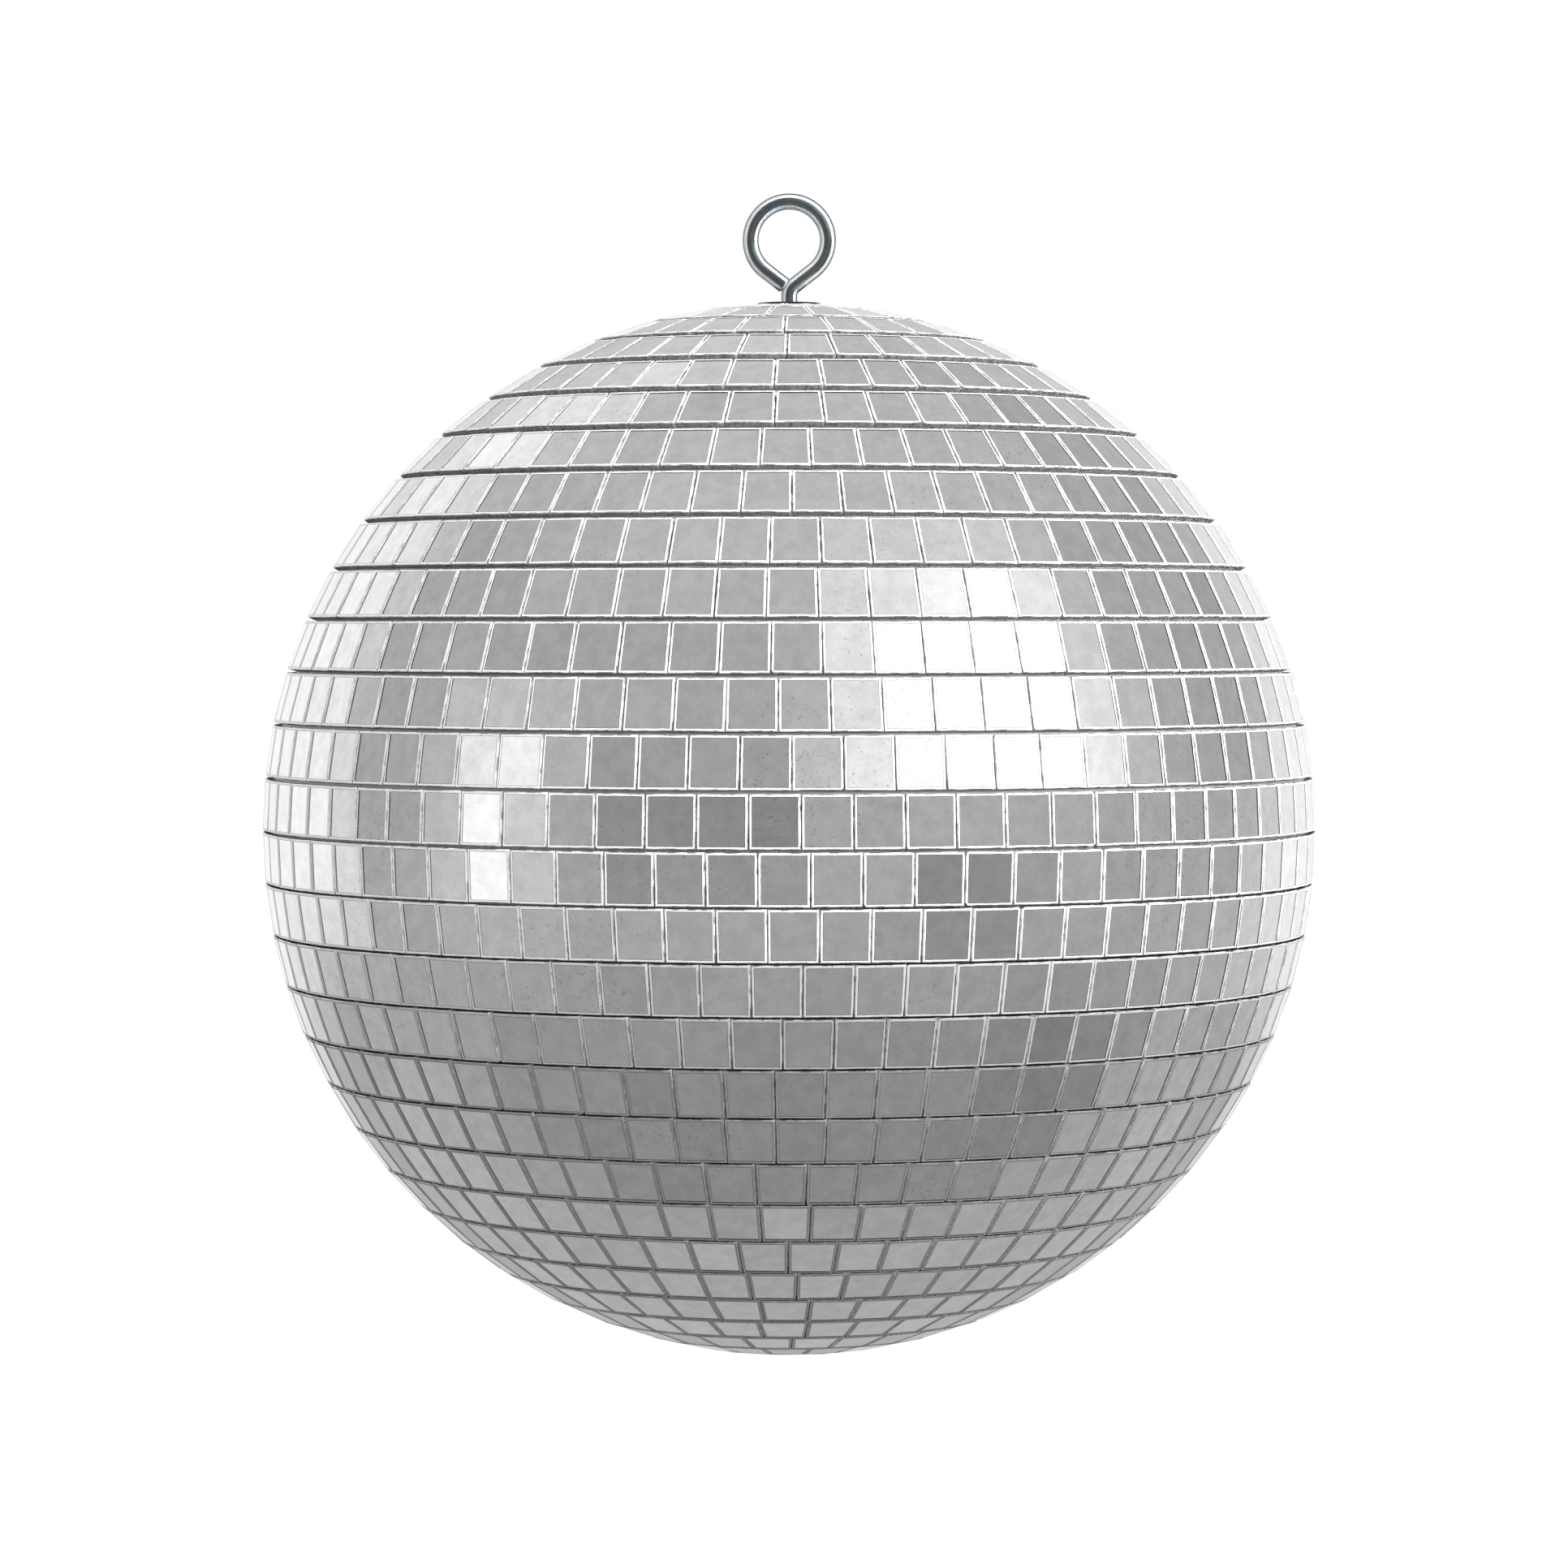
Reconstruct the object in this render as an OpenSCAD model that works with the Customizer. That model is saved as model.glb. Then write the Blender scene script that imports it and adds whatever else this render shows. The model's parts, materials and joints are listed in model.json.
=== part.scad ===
// Hanging mirror ball.
// Two plastic half shells carry cloth-backed rows of flat glass mirror tiles.
// The ball hangs from a bent-wire eye bolt and turns on its shank.
// Frame: origin at the centre of the ball, +Z up, eye ring in the XZ plane.

/* [Ball] */
// Outside diameter over the corners of the tiles
ball_d = 200; // [190:5:250]
// Wall thickness of the plastic half shells
shell_wall = 2; // [1.6:0.1:3]
// Height of the lap joint between the half shells
lap_h = 5; // [4:0.5:8]

/* [Mirror tiles] */
// Width of an uncut tile, which is also the wide edge of a trimmed one
tile_w = 8.8; // [6:0.1:9]
// Glass thickness
tile_t = 1.3; // [0.8:0.1:1.6]
// Gap between neighbouring tiles of a row
tile_gap = 0.25; // [0.2:0.05:1.2]
// Smallest gap between neighbouring rows
row_gap = 0.3; // [0.2:0.05:0.8]
// Thickness of the cloth behind the tiles
cloth_t = 0.25; // [0.1:0.05:0.5]

/* [Row layout] */
// Full rows above the equator, up to the first polar row
upper_full_rows = 11; // [10:1:11]
// Trimmed rows between the full rows and the eye bolt
upper_polar_rows = 3; // [1:1:3]
// Full rows below the equator
lower_full_rows = 15; // [13:1:15]
// Angle between row lines just above the equator, in degrees
upper_pitch = 5.85; // [5.7:0.05:5.9]
// How much the upper rows spread towards the pole, in degrees per row cubed
upper_spread = 0.0027; // [0:0.0003:0.0027]
// Angle between row lines of the polar rows, in degrees
polar_pitch = 6.2; // [5.7:0.1:6.2]
// Angle between row lines below the equator, in degrees
lower_pitch = 5.65; // [5.4:0.05:5.65]

/* [Eye bolt] */
// Diameter of the wire
wire_d = 3.1; // [2.8:0.1:3.4]
// Radius of the ring, to the middle of the wire
ring_r = 7.35; // [6.5:0.05:9]
// Angle of the two straight legs under the ring, from vertical
leg_angle = 52; // [42:1:54]
// Radius of the neck bend, to the middle of the wire
neck_r = 2.5; // [2.2:0.1:2.8]
// Straight shank visible between the washer and the neck bend
neck_gap = 1.4; // [0.5:0.1:4]
// Depth of the moulded boss that guides the shank
boss_depth = 9.3; // [7:0.1:14]

/* [Washers and nuts] */
// Diameter of the washer on top of the ball
top_washer_d = 12; // [9:0.5:12]
// Thickness of the washer on top of the ball
top_washer_t = 0.5; // [0.3:0.1:0.6]
// Diameter of the washer inside the ball
inner_washer_d = 12; // [9:0.5:14]
// Thickness of the washer inside the ball
inner_washer_t = 0.8; // [0.5:0.1:1.5]
// Width across the flats of the nuts
nut_af = 5.5; // [5:0.1:7]
// Height of the nut that carries the ball
nut_h = 2.4; // [2:0.1:3]
// Height of the locking nut below it
jam_nut_h = 1.8; // [1.5:0.1:2.5]

/* [Hidden] */
// Radial clearance of the shank in its bore, and the play under the nut
running_fit = 0.05;
axial_play = 0.06;
// Gap between parts that rest or are glued on each other
rest_gap = 0.02;
// Radial clearance of the washers and of the thread inside the nuts
washer_fit = 0.15;
thread_fit = 0.01;
// Latitude at which the trimmed tiles around the lower pole end
lower_end_lat = 87.3;
// Half the size of a tile, which sets how far its face lies inside the corners
corner_w = tile_w / 2;
corner_h = ball_d / 2 * tan(lower_pitch / 2) - row_gap / 2;
// Stack of radii from the mirror face down to the inside of the shell
face_r = sqrt(pow(ball_d / 2, 2) - pow(corner_w, 2) - pow(corner_h, 2));
back_r = face_r - tile_t;
cloth_r = back_r - rest_gap - cloth_t;
core_r = cloth_r - 1.5 * rest_gap;
inner_r = core_r - shell_wall;
// Height of a full tile, so that the tightest rows keep row_gap at their backs
tile_h = 2 * back_r * tan(lower_pitch / 2) - row_gap;
// How far a cloth strip shows beyond the tiles of its row
cloth_border = row_gap / 4;
// Turn from one row to the next, so that the joints of neighbouring rows don't line up
row_phase = 68.75;

// Collar on the upper shell that seats the washer, which stands a little above the mirror faces
collar_r = top_washer_d / 2 + 0.2;
seat_drop = 0.3;
seat_z = face_r - seat_drop;
boss_r = 7;
boss_z = seat_z - boss_depth;
rib_count = 6;
rib_t = 1.6;
rib_reach = 26;
rib_lift = 2;
bore_r = wire_d / 2 + running_fit;

// Lap joint: a lip on the lower shell stands inside a rebate of the upper one
lip_inner_r = inner_r + 0.2;
lip_outer_r = inner_r + shell_wall * 0.48;
rebate_r = lip_outer_r + running_fit;
lip_root = 3;
glue_h = 0.5;

// Eye bolt
wire_r = wire_d / 2;
// The straight stretches are this much thinner, and reach this far into the bends
straight_r = wire_r - 0.01;
let_in = 0.15;
// Heights along the wire, from the shank to the ring
neck_z = seat_z + top_washer_t + neck_gap;
apex_drop = ring_r / sin(leg_angle);
leg_len = ring_r / tan(leg_angle);
neck_exit_x = neck_r * (1 - cos(leg_angle));
neck_exit_z = neck_z + neck_r * sin(leg_angle);
apex_z = neck_exit_z - neck_exit_x / tan(leg_angle);
ring_z = apex_z + apex_drop;
free_end_gap = 1.65;
shank_tail = 3;

inner_washer_z = boss_z - rest_gap - inner_washer_t;
nut_z = inner_washer_z - axial_play - nut_h;
jam_nut_z = nut_z - rest_gap - jam_nut_h;
shank_end_z = jam_nut_z - shank_tail;

upper_rows = upper_full_rows + upper_polar_rows;
lower_rows = lower_full_rows + 1;
row_count = upper_rows + lower_rows;

$fn = 96;

// Row line k lies k rows above the equator
function upper_line(k) =
    let (full = min(k, upper_full_rows))
    upper_pitch * full + upper_spread * pow(full, 3) + polar_pitch * (k - full);

// Row line k lies k rows below the equator, and the last one ends at the pole tile
function lower_line(k) = k > lower_full_rows ? -lower_end_lat : -lower_pitch * k;

// Rows are numbered from 1 under the eye bolt to row_count around the lower pole
function line_lat(i) = i <= upper_rows ? upper_line(upper_rows - i) : lower_line(i - upper_rows);
function row_top(i) = i == 1 ? upper_line(upper_rows) : line_lat(i - 1);
function row_lat(i) = (row_top(i) + line_lat(i)) / 2;
function row_h(i) =
    min(tile_h, 2 * back_r * tan((row_top(i) - line_lat(i)) / 2) - row_gap);

// Radius of a row's back plane, at a distance s up the meridian from its middle
function back_edge_r(i, s) = back_r * cos(row_lat(i)) - s * sin(row_lat(i));
function wide_edge_r(i) = max(back_edge_r(i, row_h(i) / 2), back_edge_r(i, -row_h(i) / 2));
function tile_count(i) = ceil(2 * PI * wide_edge_r(i) / (tile_w + tile_gap));
function half_width(i, s) = back_edge_r(i, s) * tan(180 / tile_count(i)) - tile_gap / 2;

// Near a pole the corners of a wide edge stand out towards the next row, so that edge is cut back
function corner_reach(i) = wide_edge_r(i) * (1 / cos(180 / tile_count(i)) - 1) * abs(sin(row_lat(i)));
function wide_cut(i) = max(0, corner_reach(i) - row_gap / 2);
function low_edge(i) = -row_h(i) / 2 + (i <= upper_rows ? wide_cut(i) : 0);
function high_edge(i) = row_h(i) / 2 - (i > upper_rows ? wide_cut(i) : 0);

function row_name(i) = str("mirror_row_", i < 10 ? "0" : "", i);

// Straight wire from the origin along a leaning line, let into the bends at its ends
module wire_leg(lean, from, to) {
    rotate([0, lean, 0])
        translate([0, 0, from])
            cylinder(r = straight_r, h = to - from);
}

// Bent wire in the XZ plane around the origin, from one angle to another
module wire_arc(radius, from, sweep) {
    rotate([90, 0, 0])
        rotate_extrude(angle = sweep, start = from)
            translate([radius, 0])
                circle(r = wire_r);
}

// Ring that closes on two straight legs, the left one cut off beside the neck
module eye_bolt() {
    color("lightsteelblue") {
        translate([0, 0, ring_z])
            wire_arc(ring_r, -leg_angle, 180 + 2 * leg_angle);
        translate([0, 0, apex_z]) {
            wire_leg(leg_angle, neck_exit_x / sin(leg_angle) - let_in, leg_len + let_in);
            wire_leg(-leg_angle, free_end_gap, leg_len + let_in);
        }
        translate([neck_r, 0, neck_z])
            wire_arc(neck_r, 180 - leg_angle, leg_angle);
        translate([0, 0, shank_end_z])
            cylinder(r = straight_r, h = neck_z + let_in - shank_end_z);
    }
}

module washer(outer_d, thickness) {
    difference() {
        cylinder(d = outer_d, h = thickness);
        translate([0, 0, -1])
            cylinder(r = wire_r + washer_fit, h = thickness + 2);
    }
}

module top_washer() {
    color("dimgray")
        translate([0, 0, seat_z + rest_gap])
            washer(top_washer_d, top_washer_t - rest_gap);
}

module inner_washer() {
    color("silver")
        translate([0, 0, inner_washer_z])
            washer(inner_washer_d, inner_washer_t);
}

module nut(height) {
    difference() {
        cylinder(d = nut_af / cos(30), h = height, $fn = 6);
        translate([0, 0, -1])
            cylinder(r = wire_r + thread_fit, h = height + 2);
    }
}

module hex_nut() {
    color("gainsboro")
        translate([0, 0, nut_z])
            nut(nut_h);
}

module jam_nut() {
    color("gainsboro")
        translate([0, 0, jam_nut_z])
            rotate([0, 0, 17])
                nut(jam_nut_h);
}

// Thin gussets that tie the boss to the dome
module boss_ribs() {
    intersection() {
        sphere(r = core_r - shell_wall / 2);
        for (i = [0 : rib_count - 1])
            rotate([0, 0, i * 360 / rib_count])
                translate([0, -rib_t / 2, boss_z + rib_lift])
                    cube([rib_reach, rib_t, boss_depth]);
    }
}

// Dome with the boss and washer collar at its top and a rebate at its rim
module upper_shell() {
    color("white")
        difference() {
            union() {
                difference() {
                    sphere(r = core_r);
                    sphere(r = inner_r);
                    translate([0, 0, rest_gap - ball_d])
                        cylinder(r = ball_d, h = ball_d);
                    translate([0, 0, -1])
                        cylinder(r = rebate_r, h = lap_h + glue_h + 1.1);
                }
                translate([0, 0, boss_z])
                    cylinder(r = boss_r, h = core_r - boss_z - shell_wall / 2);
                translate([0, 0, core_r - shell_wall])
                    cylinder(r = collar_r, h = seat_z - core_r + shell_wall);
                boss_ribs();
            }
            translate([0, 0, boss_z - 1])
                cylinder(r = bore_r, h = seat_z - boss_z + 2);
        }
}

// Lower dome with the lip that stands inside the upper one
module lower_shell() {
    color("whitesmoke")
        union() {
            difference() {
                sphere(r = core_r);
                sphere(r = inner_r);
                cylinder(r = ball_d, h = ball_d);
            }
            translate([0, 0, -lip_root])
                difference() {
                    cylinder(r = lip_outer_r, h = lap_h + lip_root);
                    translate([0, 0, -1])
                        cylinder(r = lip_inner_r, h = lap_h + lip_root + 2);
                }
        }
}

// Bead of glue in the rebate, on the end of the lip
module seam_glue() {
    color("khaki")
        translate([0, 0, lap_h + rest_gap])
            difference() {
                cylinder(r = lip_outer_r, h = glue_h);
                translate([0, 0, -1])
                    cylinder(r = lip_inner_r + 0.1, h = glue_h + 2);
            }
}

// One strip of cloth, a thin cone that touches the shell along the middle of its row
module cloth_strip(i) {
    lat = row_lat(i);
    half_h = row_h(i) / 2 + cloth_border;
    rotate_extrude()
        polygon([
            for (corner = [[0, -1], [cloth_t, -1], [cloth_t, 1], [0, 1]])
            let (radius = cloth_r + corner[0], along = corner[1] * half_h)
            [
                radius * cos(lat) - along * sin(lat),
                radius * sin(lat) + along * cos(lat)
            ]
        ]);
}

module upper_cloth() {
    color("ivory")
        for (i = [1 : upper_rows])
            cloth_strip(i);
}

module lower_cloth() {
    color("ivory") {
        for (i = [upper_rows + 1 : row_count])
            cloth_strip(i);
        translate([0, 0, -cloth_r - cloth_t])
            cylinder(r = back_edge_r(row_count, -row_h(row_count) / 2) - tile_gap, h = cloth_t);
    }
}

// One flat tile, lying on its back plane, with its sides along the meridians
module tile(i) {
    low = low_edge(i);
    high = high_edge(i);
    linear_extrude(tile_t)
        polygon([
            [-half_width(i, low), low],
            [half_width(i, low), low],
            [half_width(i, high), high],
            [-half_width(i, high), high]
        ]);
}

// One row of tiles around the ball, each tangent to the cloth behind it
module mirror_row(i) {
    color("silver")
        for (j = [0 : tile_count(i) - 1])
            rotate([0, 0, i * row_phase + j * 360 / tile_count(i)])
                rotate([0, 90 - row_lat(i), 0])
                    translate([0, 0, back_r])
                        rotate([0, 0, 90])
                            tile(i);
}

// Tile nipped to fill the lower pole, with one side along each tile of the last row
module pole_tile() {
    flats_r = back_edge_r(row_count, -row_h(row_count) / 2) - tile_gap;
    half_side = 180 / tile_count(row_count);
    color("silver")
        translate([0, 0, -face_r])
            rotate([0, 0, row_count * row_phase + half_side])
                cylinder(r = flats_r / cos(half_side), h = tile_t, $fn = tile_count(row_count));
}

eye_bolt();
top_washer();
inner_washer();
hex_nut();
jam_nut();
upper_shell();
lower_shell();
seam_glue();
upper_cloth();
lower_cloth();
pole_tile();
for (i = [1 : row_count])
    mirror_row(i);
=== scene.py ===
"""Looks of the mirror ball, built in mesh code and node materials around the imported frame."""
import json
import math
import random

import bpy
import numpy as np
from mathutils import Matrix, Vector, noise


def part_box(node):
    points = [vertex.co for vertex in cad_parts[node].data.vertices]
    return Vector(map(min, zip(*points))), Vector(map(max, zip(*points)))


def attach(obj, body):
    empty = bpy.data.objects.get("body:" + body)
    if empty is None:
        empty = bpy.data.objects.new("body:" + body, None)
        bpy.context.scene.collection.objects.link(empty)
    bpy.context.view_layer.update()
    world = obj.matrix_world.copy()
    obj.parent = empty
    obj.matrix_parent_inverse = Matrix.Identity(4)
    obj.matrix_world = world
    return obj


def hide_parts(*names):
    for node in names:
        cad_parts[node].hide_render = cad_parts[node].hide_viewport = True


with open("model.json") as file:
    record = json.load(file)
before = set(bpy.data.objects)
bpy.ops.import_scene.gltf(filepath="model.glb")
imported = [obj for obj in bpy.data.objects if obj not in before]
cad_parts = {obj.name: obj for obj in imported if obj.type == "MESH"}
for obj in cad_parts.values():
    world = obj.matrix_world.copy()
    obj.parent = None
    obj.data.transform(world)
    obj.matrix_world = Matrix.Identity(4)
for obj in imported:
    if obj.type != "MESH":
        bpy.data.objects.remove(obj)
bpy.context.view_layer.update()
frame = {"nodes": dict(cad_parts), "record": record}

MM = 0.001
UP = np.array([0.0, 0.0, 1.0])

# Glass tiles, in mm
GLASS_T = 1.3
GLASS_INDEX = 1.5
ARRIS = 0.17
# Width of the ground border in front of the silver, measured from the edge of the tile
BORDER = 0.45
# The front of a tile is this much wider and taller than its CAD solid, on each side.
# Below the equator the rows were laid less tightly.
GROW_SIDE = 0.1
GROW_END_ABOVE = 0.09
GROW_END_BELOW = 0.02
# Its sides lean in by this much towards the back
TAPER = 0.07
SIDE_SEGMENTS = 4
CUT_WAVER = 0.03
CHIP_CHANCE = 0.07
CHIP_SIZE = (0.25, 0.6)
# How far a hand-laid tile strays from its place, in mm and degrees
LAY_EAST = 0.03
LAY_NORTH = 0.02
LAY_TURN = 0.3
LAY_TILT = 0.55
LAY_WIDTH = 0.015
FULL_JITTER_COUNT = 40


# ---------------------------------------------------------------- node graphs

class Graph:
    """Builds shader nodes with short calls. A socket or a plain value may be given for any input."""

    def __init__(self, tree):
        self.tree = tree
        tree.nodes.clear()

    def node(self, kind, inputs=None, **settings):
        made = self.tree.nodes.new(kind)
        for key, value in settings.items():
            setattr(made, key, value)
        for key, value in (inputs or {}).items():
            self.feed(made.inputs[key], value)
        return made

    def feed(self, socket, value):
        if isinstance(value, bpy.types.NodeSocket):
            self.tree.links.new(value, socket)
        elif value is not None:
            socket.default_value = value

    def math(self, operation, a, b=None, clamp=False):
        made = self.node("ShaderNodeMath", operation=operation, use_clamp=clamp)
        self.feed(made.inputs[0], a)
        self.feed(made.inputs[1], b)
        return made.outputs[0]

    def vector(self, operation, a, b=None):
        made = self.node("ShaderNodeVectorMath", operation=operation)
        self.feed(made.inputs[0], a)
        if operation == "SCALE":
            self.feed(made.inputs["Scale"], b)
        else:
            self.feed(made.inputs[1], b)
        return made.outputs["Value" if operation in ("DOT_PRODUCT", "LENGTH") else "Vector"]

    def ramp(self, value, low, high, start=0.0, end=1.0, shape="SMOOTHSTEP"):
        """start below low, end above high, and a smooth step between them."""
        made = self.node("ShaderNodeMapRange", interpolation_type=shape)
        for key, number in (("From Min", low), ("From Max", high), ("To Min", start), ("To Max", end)):
            self.feed(made.inputs[key], number)
        self.feed(made.inputs["Value"], value)
        return made.outputs["Result"]

    def mix(self, factor, a, b, kind="RGBA"):
        made = self.node("ShaderNodeMix", data_type=kind)
        slots = {"FLOAT": (2, 3, 0), "VECTOR": (4, 5, 1), "RGBA": (6, 7, 2)}[kind]
        self.feed(made.inputs[0], factor)
        self.feed(made.inputs[slots[0]], a)
        self.feed(made.inputs[slots[1]], b)
        return made.outputs[slots[2]]

    def noise(self, place, scale, detail=2.0, roughness=0.5):
        made = self.node(
            "ShaderNodeTexNoise",
            {"Vector": place, "Scale": scale, "Detail": detail, "Roughness": roughness},
        )
        return made.outputs["Fac"]

    def place(self):
        return self.node("ShaderNodeTexCoord").outputs["Object"]

    def attribute(self, name):
        return self.node("ShaderNodeAttribute", attribute_type="GEOMETRY", attribute_name=name)

    def split(self, vector):
        return self.node("ShaderNodeSeparateXYZ", {"Vector": vector}).outputs

    def bump(self, height, distance, strength=1.0, normal=None):
        inputs = {"Height": height, "Distance": distance, "Strength": strength}
        if normal is not None:
            inputs["Normal"] = normal
        return self.node("ShaderNodeBump", inputs).outputs["Normal"]

    def tint(self, color, gain):
        """A colour times a number."""
        return self.vector("SCALE", color, gain)


def material(name):
    made = bpy.data.materials.new(name)
    made.use_nodes = True
    return made, Graph(made.node_tree)


def finish_material(graph, **inputs):
    shader = graph.node("ShaderNodeBsdfPrincipled")
    for key, value in inputs.items():
        graph.feed(shader.inputs[key.replace("_", " ")], value)
    graph.node("ShaderNodeOutputMaterial", {"Surface": shader.outputs[0]})


# ------------------------------------------------------------------ materials

def tile_facing_up(g):
    """The upward part of the tile's outward direction: 1 at the top of the ball, -1 at the bottom."""
    east = g.attribute("tile_east").outputs["Vector"]
    north = g.attribute("tile_north").outputs["Vector"]
    return g.split(g.vector("CROSS_PRODUCT", east, north))[2]


def ground_glass_painted_shade(g, place):
    """White of ground glass with painted shade: it greys where the tile faces down into the unlit part of the
    room.
    """
    facing_up = tile_facing_up(g)
    # Painted shade: the white is darker on tiles that face down, in two steps.
    under = g.ramp(facing_up, -0.4, -0.3, 0.32, 0.62)
    side = g.ramp(facing_up, -0.28, -0.08, 0.0, 0.38)
    grain = g.ramp(g.noise(place, 2600.0), 0.3, 0.7, 0.9, 1.0)
    return g.tint((0.96, 0.965, 0.96), g.math("MULTIPLY", g.math("ADD", under, side), grain))


def slide_through_glass(g):
    """How far a slanting view slides east and north between the front of the glass and the silver."""
    east = g.attribute("tile_east").outputs["Vector"]
    north = g.attribute("tile_north").outputs["Vector"]
    view = g.node(
        "ShaderNodeVectorTransform", {"Vector": g.node("ShaderNodeNewGeometry").outputs["Incoming"]},
        vector_type="VECTOR", convert_from="WORLD", convert_to="OBJECT",
    ).outputs[0]
    view_east = g.vector("DOT_PRODUCT", view, east)
    view_north = g.vector("DOT_PRODUCT", view, north)
    slant = g.math("ADD", g.math("MULTIPLY", view_east, view_east), g.math("MULTIPLY", view_north, view_north))
    depth = g.math("DIVIDE", GLASS_T, g.math("SQRT", g.math("SUBTRACT", GLASS_INDEX ** 2, slant)))
    return g.math("MULTIPLY", depth, view_east), g.math("MULTIPLY", depth, view_north)


def mirror_face_material():
    """Silvered float glass seen from the front, with a white ground border and a dark outline.

    A slanting view goes through the glass and meets the snapped side of the tile before it meets
    the silver, so the outline widens along the far edges. Its width follows from the view, the
    glass thickness and the refractive index."""
    made, g = material("mirror_glass_face")
    place = g.place()
    room = g.attribute("edge_room")
    west_room, east_room, south_room = g.split(room.outputs["Vector"])
    north_room = room.outputs["Alpha"]
    tone = g.attribute("tile_tone").outputs["Fac"]

    slide_east, slide_north = slide_through_glass(g)
    side_room = g.math(
        "MINIMUM", g.math("SUBTRACT", west_room, slide_east), g.math("ADD", east_room, slide_east))
    end_room = g.math(
        "MINIMUM", g.math("SUBTRACT", south_room, slide_north), g.math("ADD", north_room, slide_north))
    ragged = g.math("MULTIPLY", g.math("SUBTRACT", g.noise(place, 900.0), 0.5), 0.14)
    front_room = g.math(
        "MINIMUM", g.math("MINIMUM", west_room, east_room), g.math("MINIMUM", south_room, north_room))
    front_room = g.math("ADD", front_room, ragged)
    left_over = g.math("ADD", g.math("MINIMUM", side_room, end_room), ragged)
    border = g.ramp(front_room, BORDER - 0.02, BORDER + 0.03, 1.0, 0.0)
    outline = g.ramp(front_room, BORDER + 0.02, BORDER + 0.1, 0.93, 0.0)
    far_side = g.ramp(left_over, 0.0, 0.08, 0.8, 0.0)
    dark = g.math("MAXIMUM", outline, far_side)

    # Silver: cloudy, a little different on each tile, with a few dark specks
    cloud = g.ramp(g.noise(place, 330.0, 6.0, 0.68), 0.3, 0.7, -0.1, 0.06)
    speck_share = g.ramp(g.noise(place, 35.0), 0.4, 0.65, 0.7, 1.0)
    speck = g.ramp(g.math("MULTIPLY", g.noise(place, 1500.0, 1.0), speck_share), 0.62, 0.72, 0.0, 0.24)
    gain = g.math("ADD", 1.0, g.math("ADD", cloud, g.math("MULTIPLY", g.math("SUBTRACT", tone, 0.5), 0.12)))
    gain = g.math("MULTIPLY", gain, g.math("SUBTRACT", 1.0, speck))
    gain = g.math("MULTIPLY", gain, g.math("SUBTRACT", 1.0, dark))
    silver = g.tint((0.91, 0.915, 0.915), gain)
    smudge = g.ramp(g.noise(place, 140.0, 3.0), 0.35, 0.7, 0.035, 0.085)
    waves = g.noise(place, 110.0, 1.0)

    finish_material(
        g,
        # The white border is ground glass with painted shade on tiles that face down.
        Base_Color=g.mix(border, silver, ground_glass_painted_shade(g, place)),
        Metallic=g.math("SUBTRACT", 1.0, border),
        Roughness=g.mix(border, smudge, 0.7, "FLOAT"),
        Normal=g.bump(waves, 0.00006),
    )
    return made


def arris_material():
    """Seamed edge of the glass: white where it is ground, a little glossy and metallic where it is worn. Both
    tones carry painted shade: they are darker on tiles that face down.
    """
    made, g = material("glass_arris")
    place = g.place()
    grind = g.noise(place, 3000.0, 2.0)
    worn = g.ramp(g.noise(place, 420.0, 3.0), 0.35, 0.65)
    # Painted shade: the worn metal's colour is darker on tiles that face down.
    worn_shine_painted_shade = g.tint((0.9, 0.91, 0.905), g.ramp(tile_facing_up(g), -0.42, -0.22, 0.6, 1.0))
    finish_material(
        g,
        Base_Color=g.mix(worn, ground_glass_painted_shade(g, place), worn_shine_painted_shade),
        Metallic=worn,
        Roughness=g.ramp(worn, 0.0, 1.0, 0.5, 0.2),
        Normal=g.bump(grind, 0.00002),
    )
    return made


def cut_edge_material():
    """Snapped side of the tile: dark towards the next row, partly the glass's own dark edge and partly painted
    shade of the narrow row gap, paler where it nearly meets its neighbour.
    """
    made, g = material("glass_cut_edge")
    place = g.place()
    streaks = g.noise(g.vector("MULTIPLY", place, (1.0, 1.0, 0.25)), 1800.0, 3.0)
    streak = g.ramp(streaks, 0.3, 0.7)
    normal = g.node(
        "ShaderNodeVectorTransform", {"Vector": g.node("ShaderNodeNewGeometry").outputs["Normal"]},
        vector_type="VECTOR", convert_from="WORLD", convert_to="OBJECT",
    ).outputs[0]
    east = g.attribute("tile_east").outputs["Vector"]
    sideways = g.ramp(g.math("ABSOLUTE", g.vector("DOT_PRODUCT", normal, east)), 0.5, 0.8)
    # Painted light and shade: each side's tone changes between tiles that face up and tiles that face down; the
    # very dark row sides below stand in for shade.
    upper = g.ramp(tile_facing_up(g), -0.3, 0.1)
    lower_row = g.mix(streak, (0.02, 0.022, 0.021, 1), (0.07, 0.075, 0.073, 1))
    upper_row = g.mix(streak, (0.13, 0.135, 0.133, 1), (0.3, 0.31, 0.305, 1))
    row_side_with_painted_shade = g.mix(upper, lower_row, upper_row)
    lower_neighbour = g.mix(streak, (0.8, 0.82, 0.81, 1), (0.93, 0.94, 0.935, 1))
    upper_neighbour = g.mix(streak, (0.34, 0.35, 0.345, 1), (0.56, 0.57, 0.565, 1))
    neighbour_side_painted_light_and_shade = g.mix(upper, lower_neighbour, upper_neighbour)
    finish_material(
        g,
        Base_Color=g.mix(sideways, row_side_with_painted_shade, neighbour_side_painted_light_and_shade),
        Roughness=g.ramp(streaks, 0.3, 0.7, 0.25, 0.5),
        Normal=g.bump(streaks, 0.00003),
    )
    return made


def back_paint_material():
    made, g = material("mirror_back_paint")
    place = g.place()
    brush = g.noise(place, 260.0, 4.0)
    finish_material(
        g,
        Base_Color=g.mix(g.ramp(brush, 0.3, 0.7), (0.24, 0.25, 0.27, 1), (0.33, 0.34, 0.36, 1)),
        Roughness=g.ramp(brush, 0.3, 0.7, 0.5, 0.7),
        Normal=g.bump(brush, 0.00004),
    )
    return made


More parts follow.
